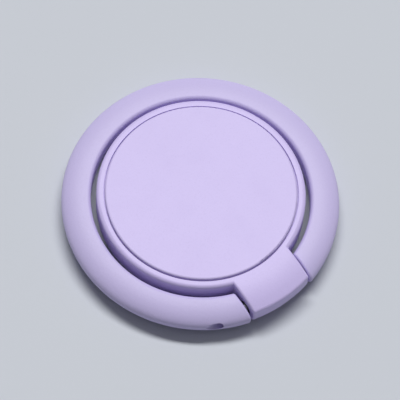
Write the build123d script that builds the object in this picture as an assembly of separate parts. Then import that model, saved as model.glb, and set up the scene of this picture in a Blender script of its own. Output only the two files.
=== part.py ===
from build123d import *
import math
import os

# Finger ring holder. A stick-on base plate carries a swivelling turntable, and a domed, C-shaped ring is
# hinged to the turntable's lug. Millimetres. +Z points away from the surface that it sticks to, the lug
# points along -Y, and the origin is the centre of the adhesive face, on the swivel axis.

# Plan sizes
turntable_radius = 11.75
rim_width = 0.8  # turntable's rim, round the cover's recess
cover_gap = 0.15  # shows as a fine line round the cover
ring_gap = 0.6  # groove between the turntable and the folded ring
ring_width = 3.3  # ring's inner wall to its widest point
plate_inset = 0.5  # base plate, in from the turntable's edge
pad_inset = 0.2  # adhesive pad, in from the base plate's edge
lug_width = 7.6
lug_setback = 0.2  # how far the lug's nose stops short of the ring's widest point
lug_root = 0.6  # how far the lug reaches into the turntable's rim
end_gap = 0.3  # between the lug and each end of the ring

# Heights
pad_thickness = 0.5
plate_thickness = 0.8
swivel_washer_thickness = 0.4
swivel_washer_sunk = 0.2  # part of that washer which lies in the turntable's underside
web_thickness = 0.9  # turntable's floor, between its washer and its spring
cover_seat_depth = 0.35
tape_thickness = 0.1
cover_thickness = 0.5
ring_lift = 0.9  # under the folded ring
ring_drop = 0.85  # folded ring's top, below the turntable's rim
lug_fall = 0.9  # how far the lug's top curves down from the rim to the nose

# Ring section
belly_rise = 1.25  # from the flat bottom up to the widest point
tuck_width = 0.6  # how far the outer side turns in again below the widest point
lip_round = 0.45  # inner top edge, from the inner wall to the crown
hem_round = 0.6  # inner bottom edge

# Swivel pivot
shank_radius = 1.5
flat_head_radius = 2.6
flat_head_thickness = 0.4
peened_head_radius = 2.5
peened_head_height = 0.5
head_room = 0.1  # between the peened head and the cover's seat
rivet_washer_radius = 3.8
rivet_washer_thickness = 0.3
spring_radius = 4.2
spring_thickness = 0.25
spring_rise = 0.25  # height of the spring's cone
well_room = 0.4  # round the spring and the rivet's washer
swivel_washer_radius = 7.5
tape_width = 4.2

# Hinge
pin_radius = 0.5
pin_grip = 2.0  # length of pin in the ring's blind end
pin_open_grip = 2.6  # length of pin in the end that it is pressed in through
pin_room = 0.1  # past the pin in the blind hole
sleeve_wall = 0.3
sleeve_inset = 0.1  # at each side of the lug
sleeve_slot = 0.35

# Fits, on the radius
running_clearance = 0.04
seat_clearance = 0.02

# Softened edges
end_round = 0.25  # ring ends and lug sides
nose_round = 0.4
rim_round = 0.4
skirt_round = 0.2
cover_round = 0.2
plate_round = 0.15
peen_round = 0.3
pin_chamfer = 0.12

# Levels, from the adhesive face up
plate_bottom = pad_thickness
plate_top = plate_bottom + plate_thickness
washer_seat = plate_top + swivel_washer_thickness
turntable_bottom = washer_seat - swivel_washer_sunk
well_floor = washer_seat + web_thickness
spring_top = well_floor + spring_rise + spring_thickness
peen_bottom = spring_top + rivet_washer_thickness
peen_top = peen_bottom + peened_head_height
cover_seat = peen_top + head_room
turntable_top = cover_seat + cover_seat_depth
cover_bottom = cover_seat + tape_thickness
ring_top = turntable_top - ring_drop
ring_bottom = ring_lift
belly = ring_bottom + belly_rise

# Radii
plate_radius = turntable_radius - plate_inset
pad_radius = plate_radius - pad_inset
cover_recess = turntable_radius - rim_width
cover_radius = cover_recess - cover_gap
ring_inner = turntable_radius + ring_gap
ring_outer = ring_inner + ring_width
crown = ring_inner + lip_round
nose = ring_outer - lug_setback
pivot_bore = shank_radius + running_clearance
pin_hole = pin_radius + seat_clearance
sleeve_bore = pin_radius + running_clearance
sleeve_radius = sleeve_bore + sleeve_wall

# The hinge line runs along X, through the middle of the ring's section at its ends
end_face = lug_width / 2 + end_gap
hinge_y = -(math.sqrt(ring_inner**2 - end_face**2) + math.sqrt(ring_outer**2 - end_face**2)) / 2
hinge_z = (ring_top + ring_bottom) / 2
pin_open_end = -(end_face + pin_open_grip)
pin_blind_end = end_face + pin_grip


def turned(corners):
    """Solid of revolution about Z, from the corners of its half-section as (radius, height, edge round)."""
    points = [(radius, height) for radius, height, _ in corners]
    rounds = [edge for _, _, edge in corners]
    outline = FilletPolyline(*points, radius=rounds, close=True)
    return revolve(Plane.XZ * make_face(outline), Axis.Z)


def disc(radius, bottom, top, bore=0.0, top_round=0.0):
    """Flat round piece, with a hole if a bore is given."""
    corners = [(bore, bottom, 0), (radius, bottom, 0), (radius, top, top_round), (bore, top, 0)]
    return turned(corners)


def tuck(outer):
    """Lower part of a side, from its widest point round to the flat bottom."""
    return EllipticalCenterArc((outer - tuck_width, belly), tuck_width, belly_rise, 0, arc_size=-90)


def hinge_bar(radius, start, end):
    """Round bar on the hinge line, between two places along X."""
    middle = Pos((start + end) / 2, hinge_y, hinge_z)
    return middle * Rot(0, 90, 0) * Cylinder(radius, end - start)


def soften_sides(solid):
    """Rounds the edges of a solid's flat faces that look along X."""
    edges = [edge for face in solid.faces().filter_by(Axis.X) for edge in face.edges()]
    return fillet(edges, end_round)


def make_base_plate():
    head_pocket = disc(flat_head_radius + seat_clearance, plate_bottom, plate_bottom + flat_head_thickness)
    plate = disc(plate_radius, plate_bottom, plate_top, shank_radius + seat_clearance, plate_round)
    return plate - head_pocket


def make_pivot_rivet():
    head_top = plate_bottom + flat_head_thickness
    return turned([
        (0, plate_bottom, 0),
        (flat_head_radius, plate_bottom, 0),
        (flat_head_radius, head_top, 0),
        (shank_radius, head_top, 0),
        (shank_radius, peen_bottom, 0),
        (peened_head_radius, peen_bottom, 0),
        (peened_head_radius, peen_top, peen_round),
        (0, peen_top, 0),
    ])


def make_disc_spring():
    inner = spring_top - spring_thickness
    return turned([
        (pivot_bore, inner, 0),
        (spring_radius, well_floor, 0),
        (spring_radius, well_floor + spring_thickness, 0),
        (pivot_bore, spring_top, 0),
    ])


def make_lug():
    """Hinge lug: a strip of a turned flange, level with the rim at its root and curving down to its nose."""
    root = turntable_radius - lug_root
    nose_top = turntable_top - lug_fall
    top = TangentArc((turntable_radius, turntable_top), (nose, nose_top), tangent=(1, 0))
    front = Line((nose, nose_top), (nose, belly))
    underside = Polyline(
        (nose - tuck_width, ring_bottom),
        (turntable_radius, ring_bottom),
        (turntable_radius, turntable_bottom),
        (root, turntable_bottom),
        (root, turntable_top),
        (turntable_radius, turntable_top),
    )
    section = make_face([top, front, tuck(nose), underside])
    corner = section.vertices().sort_by_distance((nose, nose_top))[0]
    whole = revolve(Plane.XZ * fillet(corner, nose_round), Axis.Z)
    strip = Pos(0, -ring_outer / 2, hinge_z) * Box(lug_width, ring_outer, 2 * turntable_top)
    return soften_sides(whole & strip)


def make_turntable():
    washer_recess = swivel_washer_radius + seat_clearance
    well = max(spring_radius, rivet_washer_radius) + well_room
    table = turned([
        (pivot_bore, washer_seat, 0),
        (washer_recess, washer_seat, 0),
        (washer_recess, turntable_bottom, 0),
        (turntable_radius, turntable_bottom, skirt_round),
        (turntable_radius, turntable_top, rim_round),
        (cover_recess, turntable_top, 0),
        (cover_recess, cover_seat, 0),
        (well, cover_seat, 0),
        (well, well_floor, 0),
        (pivot_bore, well_floor, 0),
    ])
    sleeve_hole = hinge_bar(sleeve_radius + seat_clearance, -lug_width, lug_width)
    return table + make_lug() - sleeve_hole


def make_finger_ring():
    """C-shaped ring with a hole along the hinge line in each end: open on the -X side, blind on the other."""
    lip_bottom = ring_top - lip_round
    inner_wall = FilletPolyline(
        (ring_outer - tuck_width, ring_bottom),
        (ring_inner, ring_bottom),
        (ring_inner, lip_bottom),
        radius=hem_round,
    )
    lip = CenterArc((crown, lip_bottom), lip_round, 90, 90)
    dome = EllipticalCenterArc((crown, belly), ring_outer - crown, ring_top - belly, 90, arc_size=-90)
    whole = revolve(Plane.XZ * make_face([dome, tuck(ring_outer), inner_wall, lip]), Axis.Z)
    gap = Pos(0, -ring_outer / 2, hinge_z) * Box(2 * end_face, ring_outer, 2 * ring_top)
    ring = soften_sides(whole - gap)
    open_hole = hinge_bar(pin_hole, -ring_outer, 0)
    blind_hole = hinge_bar(pin_hole, 0, pin_blind_end + pin_room)
    return ring - open_hole - blind_hole


def make_hinge_pin():
    pin = hinge_bar(pin_radius, pin_open_end, pin_blind_end)
    return chamfer(pin.edges().filter_by(GeomType.CIRCLE), pin_chamfer)


def make_hinge_sleeve():
    """Rolled spring sleeve, split along its underside."""
    half = lug_width / 2 - sleeve_inset
    tube = hinge_bar(sleeve_radius, -half, half) - hinge_bar(sleeve_bore, -half, half)
    slot = Pos(0, hinge_y, hinge_z - sleeve_radius / 2) * Box(2 * half, sleeve_slot, sleeve_radius)
    return tube - slot


pieces = {
    "adhesive_pad": disc(pad_radius, 0, pad_thickness),
    "base_plate": make_base_plate(),
    "pivot_rivet": make_pivot_rivet(),
    "swivel_washer": disc(swivel_washer_radius, plate_top, washer_seat, pivot_bore),
    "turntable": make_turntable(),
    "disc_spring": make_disc_spring(),
    "rivet_washer": disc(rivet_washer_radius, spring_top, peen_bottom, pivot_bore),
    "cover_tape": disc(cover_radius, cover_seat, cover_bottom, cover_radius - tape_width),
    "cover_plate": disc(cover_radius, cover_bottom, cover_bottom + cover_thickness, 0, cover_round),
    "finger_ring": make_finger_ring(),
    "hinge_pin": make_hinge_pin(),
    "hinge_sleeve": make_hinge_sleeve(),
}

os.makedirs("parts", exist_ok=True)
for name, solid in pieces.items():
    export_step(solid, f"parts/{name}.step")
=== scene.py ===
import math

import bmesh
import bpy
from mathutils import Matrix, Vector


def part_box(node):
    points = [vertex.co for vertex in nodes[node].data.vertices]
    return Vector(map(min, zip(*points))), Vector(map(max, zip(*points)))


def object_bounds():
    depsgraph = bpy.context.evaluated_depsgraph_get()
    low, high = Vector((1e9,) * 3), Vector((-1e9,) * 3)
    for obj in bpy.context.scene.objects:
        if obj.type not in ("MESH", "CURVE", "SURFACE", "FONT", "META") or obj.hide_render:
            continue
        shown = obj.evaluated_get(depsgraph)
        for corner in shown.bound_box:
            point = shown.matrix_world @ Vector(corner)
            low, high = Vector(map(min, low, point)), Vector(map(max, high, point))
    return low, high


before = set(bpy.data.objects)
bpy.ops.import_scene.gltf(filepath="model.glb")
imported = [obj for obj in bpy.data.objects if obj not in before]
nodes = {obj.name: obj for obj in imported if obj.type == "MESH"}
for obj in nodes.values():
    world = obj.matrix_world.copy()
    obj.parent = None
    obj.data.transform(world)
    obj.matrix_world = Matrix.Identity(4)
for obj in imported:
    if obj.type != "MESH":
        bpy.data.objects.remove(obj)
cad_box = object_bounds()
scene = bpy.context.scene

MM = 0.001

# Camera: turn, rise and roll in degrees, its distance from the middle, and the width of the picture there
VIEW_AZIMUTH = -41.7
VIEW_ELEVATION = 63.7
VIEW_ROLL = 5.55
VIEW_DISTANCE = 376 * MM
VIEW_WIDTH = 45 * MM
VIEW_START = 10 * MM  # nothing nearer to the camera is drawn
SENSOR = 36.0  # its width, in millimetres

# Lamps: turn and rise in degrees, width and depth in metres, power in watts, all at one distance
LAMP_DISTANCE = 8.0
KEY_LAMP = {"azimuth": 138, "elevation": 66, "width": 7.0, "depth": 1.5, "power": 551}
TOP_LAMP = {"azimuth": 60, "elevation": 80, "width": 8.0, "depth": 8.0, "power": 20}

# Floor: small beside the lamps' distance, so that it is lit evenly
FLOOR_RADIUS = 1.5
FLOOR_SIDES = 96

# Surround: what lights the object, and what the camera and glossy finishes see past the floor
SURROUND = (0.125, 0.128, 0.134, 1.0)
BACKDROP = (0.558, 0.584, 0.638, 1.0)

# Finish colours, linear
LAVENDER = (0.642, 0.549, 0.902, 1.0)
# The ring's copy of the lavender, painted darker: painted shade on the ring
LAVENDER_RING_PAINTED_SHADE = (0.594, 0.524, 0.824, 1.0)
# Lighter lavender along the cover's edge: worn paint, and a painted highlight on the edge
LAVENDER_WORN_HIGHLIGHT = (0.692, 0.614, 0.915, 1.0)
ZINC_PLATE = (0.600, 0.605, 0.620, 1.0)
ZINC_DULL = (0.500, 0.510, 0.530, 1.0)
TURNED_STEEL = (0.580, 0.575, 0.565, 1.0)
TURNED_GROOVE = (0.440, 0.435, 0.430, 1.0)
SPRING_STEEL = (0.200, 0.205, 0.220, 1.0)
SPRING_BLUED = (0.130, 0.135, 0.165, 1.0)
ACETAL = (0.780, 0.780, 0.755, 1.0)
ACETAL_CLOUD = (0.720, 0.720, 0.690, 1.0)
FOAM = (0.040, 0.040, 0.044, 1.0)
FOAM_PORE = (0.018, 0.018, 0.020, 1.0)
TAPE = (0.640, 0.615, 0.540, 1.0)
TAPE_FIBRE = (0.720, 0.700, 0.640, 1.0)
BOARD = (0.640, 0.668, 0.722, 1.0)
BOARD_CLOUD = (0.628, 0.656, 0.710, 1.0)

# Paint: how dark its clouds and its grain are beside its tone, and how it is worn and lightened as a painted
# highlight along the cover's edge
CLOUD_SHADE = 0.99
GRAIN_SHADE = 0.955
WORN_HIGHLIGHT_WIDTH = 0.3 * MM
MOST_WORN_HIGHLIGHT = 0.5

# A Mix node's colour sockets, which share their names with its other ones
MIX_FACTOR = 0
MIX_FIRST = 6
MIX_SECOND = 7
MIX_RESULT = 2


class Wire:
    """An output socket of a node. Arithmetic on it adds Math nodes."""

    def __init__(self, graph, socket):
        self.graph = graph
        self.socket = socket

    def beside(self, output):
        """Another output of the same node."""
        return Wire(self.graph, self.socket.node.outputs[output])

    def math(self, operation, first, second):
        """One Math node on two values or wires."""
        return self.graph.add("ShaderNodeMath", {"operation": operation}, {0: first, 1: second})

    def __add__(self, other):
        return self.math("ADD", self, other)

    def __radd__(self, other):
        return self.math("ADD", other, self)

    def __mul__(self, other):
        return self.math("MULTIPLY", self, other)

    def __rmul__(self, other):
        return self.math("MULTIPLY", other, self)


class Graph:
    """A node tree under construction."""

    def __init__(self, tree):
        self.tree = tree
        self.tree.nodes.clear()

    def add(self, kind, settings=None, sockets=None, output=0):
        """Adds one node: its settings first, then the values or wires of its sockets. Returns one output."""
        node = self.tree.nodes.new(kind)
        for name, value in (settings or {}).items():
            setattr(node, name, value)
        for name, value in (sockets or {}).items():
            if isinstance(value, Wire):
                self.tree.links.new(value.socket, node.inputs[name])
            else:
                node.inputs[name].default_value = value
        return Wire(self, node.outputs[output]) if node.outputs else node

    def blend(self, factor, first, second):
        """Mix of two colours."""
        sockets = {MIX_FACTOR: factor, MIX_FIRST: first, MIX_SECOND: second}
        return self.add("ShaderNodeMix", {"data_type": "RGBA"}, sockets, output=MIX_RESULT)


class Finish(Graph):
    """A material under construction, on Object coordinates."""

    def __init__(self, name):
        self.material = bpy.data.materials.new(name)
        self.material.use_nodes = True
        super().__init__(self.material.node_tree)
        self.place = self.add("ShaderNodeTexCoord", output="Object")

    def noise(self, size, detail=3.0, roughness=0.55, place=None):
        """Cloudy values from 0 to 1, in spots of about that size."""
        sockets = {"Vector": place or self.place, "Scale": 1 / size, "Detail": detail, "Roughness": roughness}
        return self.add("ShaderNodeTexNoise", None, sockets)

    def pores(self, size):
        """Distance from the nearest of many points, about that far apart."""
        return self.add("ShaderNodeTexVoronoi", None, {"Vector": self.place, "Scale": 1 / size})

    def radius(self):
        """Distance from the swivel axis."""
        level = (1.0, 1.0, 0.0)
        flat = self.add("ShaderNodeVectorMath", {"operation": "MULTIPLY"}, {0: self.place, 1: level})
        return self.add("ShaderNodeVectorMath", {"operation": "LENGTH"}, {0: flat}, output="Value")

    def height(self):
        """Distance above the adhesive face."""
        return self.add("ShaderNodeSeparateXYZ", None, {0: self.place}, output="Z")

    def ring_lines(self):
        """A place that changes only with radius and height, so that a texture on it runs in rings."""
        return self.add("ShaderNodeCombineXYZ", None, {0: self.radius(), 1: self.height(), 2: 0.0})

    def ease(self, value, low, high):
        """0 below low, 1 above high, smooth between."""
        sockets = {"Value": value, "From Min": low, "From Max": high}
        return self.add("ShaderNodeMapRange", {"interpolation_type": "SMOOTHSTEP"}, sockets)

    def bump(self, height, distance, below=None):
        """Normal from a height, in metres at height 1."""
        sockets = {"Height": height, "Distance": distance}
        if below:
            sockets["Normal"] = below
        return self.add("ShaderNodeBump", None, sockets)

    def finish(self, **sockets):
        """Closes the material with one principled surface. A socket's name has _ for each space."""
        named = {name.replace("_", " "): value for name, value in sockets.items()}
        surface = self.add("ShaderNodeBsdfPrincipled", None, named)
        self.add("ShaderNodeOutputMaterial", None, {"Surface": surface})
        return self.material


def shade(colour, factor):
    """The same colour, darker by a factor."""
    red, green, blue, alpha = colour
    return (red * factor, green * factor, blue * factor, alpha)


def lavender_paint(name, tone, worn_highlight=None):
    """Satin sprayed paint: fine grain, orange peel, faint clouds in the colour, handling marks in the sheen.

    Where the last argument is given, it is a function that says how far the paint is lightened, from 0 to 1:
    worn paint and a painted highlight.
    """
    paint = Finish(name)
    clouds = paint.ease(paint.noise(7 * MM, detail=2.0), low=0.35, high=0.7)
    grain = paint.noise(0.16 * MM, detail=2.0)
    colour = paint.blend(clouds, tone, shade(tone, CLOUD_SHADE))
    colour = paint.blend(paint.ease(grain, low=0.5, high=0.75), colour, shade(tone, GRAIN_SHADE))
    # Lighter where the edge is worn: worn paint and a painted highlight
    if worn_highlight:
        colour = paint.blend(worn_highlight(paint), colour, LAVENDER_WORN_HIGHLIGHT)
    peel = paint.noise(0.45 * MM, detail=2.0, roughness=0.5)
    marks = paint.ease(paint.noise(3.2 * MM, detail=4.0, roughness=0.65), low=0.4, high=0.75)
    return paint.finish(
        Base_Color=colour,
        Roughness=0.45 + marks * 0.02 + grain * 0.06,
        Normal=paint.bump(grain, 0.003 * MM, below=paint.bump(peel, 0.012 * MM)),
        IOR=1.46,
    )


def plated_steel():
    """Zinc-plated sheet, with turned lines about the swivel axis and dull patches."""
    metal = Finish("plated_steel")
    lines = metal.noise(0.05 * MM, detail=1.0, place=metal.ring_lines())
    patches = metal.noise(2.5 * MM, detail=3.0)
    return metal.finish(
        Base_Color=metal.blend(metal.ease(patches, low=0.35, high=0.7), ZINC_PLATE, ZINC_DULL),
        Metallic=1.0,
        Roughness=0.3 + lines * 0.12 + patches * 0.1,
        Normal=metal.bump(lines, 0.002 * MM),
    )


def turned_steel():
    """Bright steel with fine lathe lines."""
    metal = Finish("rivet_steel")
    lines = metal.noise(0.04 * MM, detail=2.0, place=metal.ring_lines())
    return metal.finish(
        Base_Color=metal.blend(lines, TURNED_STEEL, TURNED_GROOVE),
        Metallic=1.0,
        Roughness=0.22 + lines * 0.16,
        Normal=metal.bump(lines, 0.002 * MM),
    )


def spring_steel():
    """Dark oiled strip, blued in patches."""
    metal = Finish("spring_steel")
    patches = metal.noise(1.2 * MM, detail=3.0)
    scale = metal.noise(0.08 * MM, detail=2.0)
    return metal.finish(
        Base_Color=metal.blend(metal.ease(patches, low=0.3, high=0.7), SPRING_STEEL, SPRING_BLUED),
        Metallic=1.0,
        Roughness=0.34 + scale * 0.14,
        Normal=metal.bump(scale, 0.002 * MM),
    )


def white_acetal():
    """Slippery white plastic with a moulded grain."""
    plastic = Finish("white_acetal")
    clouds = plastic.noise(1.8 * MM, detail=2.0)
    grain = plastic.noise(0.12 * MM, detail=2.0)
    return plastic.finish(
        Base_Color=plastic.blend(clouds, ACETAL, ACETAL_CLOUD),
        Roughness=0.38 + grain * 0.1,
        Normal=plastic.bump(grain, 0.003 * MM),
        IOR=1.48,
    )


def foam_tape():
    """Dark acrylic foam, with small closed cells cut open at the edge."""
    foam = Finish("foam_tape")
    cells = foam.ease(foam.pores(0.16 * MM), low=0.1, high=0.5)
    skin = foam.noise(0.6 * MM, detail=3.0)
    return foam.finish(
        Base_Color=foam.blend(cells, FOAM_PORE, FOAM),
        Roughness=0.78 + skin * 0.15,
        Normal=foam.bump(cells, 0.03 * MM),
        IOR=1.45,
    )


def film_tape():
    """Thin carrier film with stray fibres in its gum."""
    film = Finish("film_tape")
    along_y = (1.0, 0.12, 1.0)
    stretched = film.add("ShaderNodeMapping", None, {"Vector": film.place, "Scale": along_y})
    fibres = film.ease(film.noise(0.2 * MM, detail=3.0, place=stretched), low=0.5, high=0.7)
    return film.finish(
        Base_Color=film.blend(fibres, TAPE, TAPE_FIBRE),
        Roughness=0.5 + fibres * 0.2,
        Normal=film.bump(fibres, 0.004 * MM),
    )


def pale_board():
    """Matte pale board with faint clouds."""
    board = Finish("pale_board")
    clouds = board.noise(60 * MM, detail=2.0)
    tooth = board.noise(0.5 * MM, detail=2.0)
    return board.finish(
        Base_Color=board.blend(clouds, BOARD, BOARD_CLOUD),
        Roughness=0.85 + tooth * 0.08,
        Normal=board.bump(tooth, 0.004 * MM),
    )


def cover_edge_wear_and_highlight(paint):
    """Paint worn, and lightened as a painted highlight, along the cover plate's top edge."""
    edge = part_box("cover_plate")[1].x
    return paint.ease(paint.radius(), low=edge - WORN_HIGHLIGHT_WIDTH, high=edge) * MOST_WORN_HIGHLIGHT


def paint_nodes():
    """Gives every piece of the frame its finish."""
    plate = plated_steel()
    turned = turned_steel()
    spring = spring_steel()
    finishes = {
        "adhesive_pad": foam_tape(),
        "base_plate": plate,
        "pivot_rivet": turned,
        "swivel_washer": white_acetal(),
        "turntable": lavender_paint("turntable_paint", LAVENDER),
        "disc_spring": spring,
        "rivet_washer": plate,
        "cover_tape": film_tape(),
        # Cover paint lightened along its edge: wear and a painted highlight
        "cover_plate": lavender_paint("cover_paint", LAVENDER, cover_edge_wear_and_highlight),
        # The ring gets the darker copy of the lavender: painted shade
        "finger_ring": lavender_paint("ring_paint", LAVENDER_RING_PAINTED_SHADE),
        "hinge_pin": turned,
        "hinge_sleeve": spring,
    }
    for name, material in finishes.items():
        nodes[name].data.materials[0] = material


def lay_floor():
    """Round board under the adhesive face."""
    shape = bmesh.new()
    bmesh.ops.create_circle(shape, cap_ends=True, segments=FLOOR_SIDES, radius=FLOOR_RADIUS)
    mesh = bpy.data.meshes.new("floor")
    shape.to_mesh(mesh)
    shape.free()
    floor = bpy.data.objects.new("floor", mesh)
    scene.collection.objects.link(floor)
    mesh.materials.append(pale_board())


def towards(azimuth, elevation):
    """Direction from the object to a place that far round and that far up, in degrees."""
    turn, rise = math.radians(azimuth), math.radians(elevation)
    return Vector((math.sin(turn) * math.cos(rise), -math.cos(turn) * math.cos(rise), math.sin(rise)))


def hang_lamp(name, azimuth, elevation, width, depth, power):
    """Soft oval lamp that faces the object."""
    data = bpy.data.lights.new(name, "AREA")
    data.shape = "ELLIPSE"
    data.size = width
    data.size_y = depth
    data.energy = power
    lamp = bpy.data.objects.new(name, data)
    back = towards(azimuth, elevation)
    lamp.location = back * LAMP_DISTANCE
    lamp.rotation_euler = (-back).to_track_quat("-Z", "Y").to_euler()
    scene.collection.objects.link(lamp)


def light_studio():
    """Soft light from above and behind, in a dim surround that looks as pale as the floor."""
    hang_lamp("key_lamp", **KEY_LAMP)
    hang_lamp("top_lamp", **TOP_LAMP)
    scene.world = bpy.data.worlds.new("surround")
    scene.world.use_nodes = True
    sky = Graph(scene.world.node_tree)
    camera_ray = sky.add("ShaderNodeLightPath", output="Is Camera Ray")
    seen = camera_ray + camera_ray.beside("Is Glossy Ray") + camera_ray.beside("Is Transmission Ray")
    glow = sky.add("ShaderNodeBackground", None, {"Color": sky.blend(seen, SURROUND, BACKDROP)})
    sky.add("ShaderNodeOutputWorld", None, {"Surface": glow})


def set_camera():
    """Camera at the photograph's viewing angle, close in on the ring holder."""
    low, high = cad_box
    back = towards(VIEW_AZIMUTH, VIEW_ELEVATION)
    level = towards(VIEW_AZIMUTH + 90, 0)
    roll = math.radians(VIEW_ROLL)
    right = level * math.cos(roll) + back.cross(level) * math.sin(roll)
    turned = Matrix((right, back.cross(right), back)).transposed().to_4x4()
    data = bpy.data.cameras.new("camera")
    data.sensor_width = SENSOR
    data.lens = SENSOR * VIEW_DISTANCE / VIEW_WIDTH
    data.clip_start = VIEW_START
    camera = bpy.data.objects.new("camera", data)
    camera.matrix_world = Matrix.Translation((low + high) / 2 + back * VIEW_DISTANCE) @ turned
    scene.collection.objects.link(camera)
    scene.camera = camera


scene.view_settings.view_transform = "Standard"
paint_nodes()
lay_floor()
light_studio()
set_camera()
